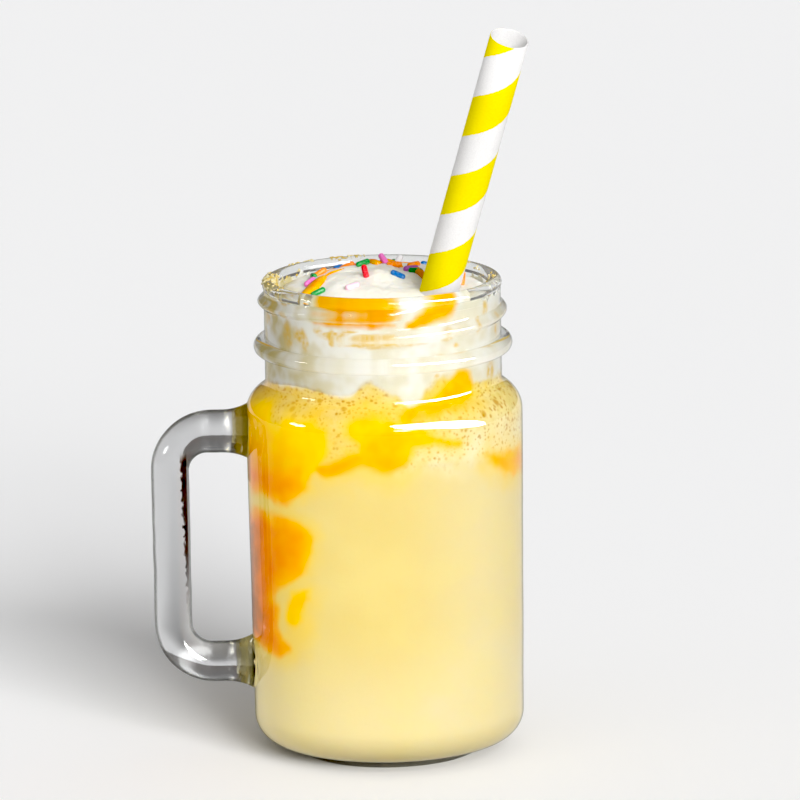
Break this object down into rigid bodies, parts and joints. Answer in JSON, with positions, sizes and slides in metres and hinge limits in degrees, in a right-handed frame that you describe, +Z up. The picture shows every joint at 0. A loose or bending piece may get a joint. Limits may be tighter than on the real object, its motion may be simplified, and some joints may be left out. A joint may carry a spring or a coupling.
{
  "type": "milkshake in a handled jar mug",
  "caption": "Mango milkshake in a handled glass jar mug, topped with foam, whipped cream, sauce and sprinkles, with a striped paper straw leaning out of it.",
  "frame": {"origin": "centre of the flat foot the jar stands on", "axes": "+Z up along the jar's axis, -X towards the handle, -Y towards the viewer; the straw leans towards +X and -Y"},
  "size_m": [0.1067, 0.0883, 0.2111],
  "materials": {
    "clear_glass": "clear, polished",
    "mango_shake": "smooth, creamy",
    "mango_foam": "bubbly",
    "whipped_cream": "soft, moist",
    "mango_sauce": "wet",
    "striped_paper": "matt, wound in stripes"
  },
  "bodies": {
    "root": {"jar": "clear_glass", "milkshake": "mango_shake", "foam": "mango_foam", "whipped_cream": "whipped_cream", "sauce_left": "mango_sauce", "sauce_front": "mango_sauce", "sauce_right": "mango_sauce", "sauce_low": "mango_sauce", "sauce_back": "mango_sauce", "straw": "striped_paper"}
  },
  "joints": []
}
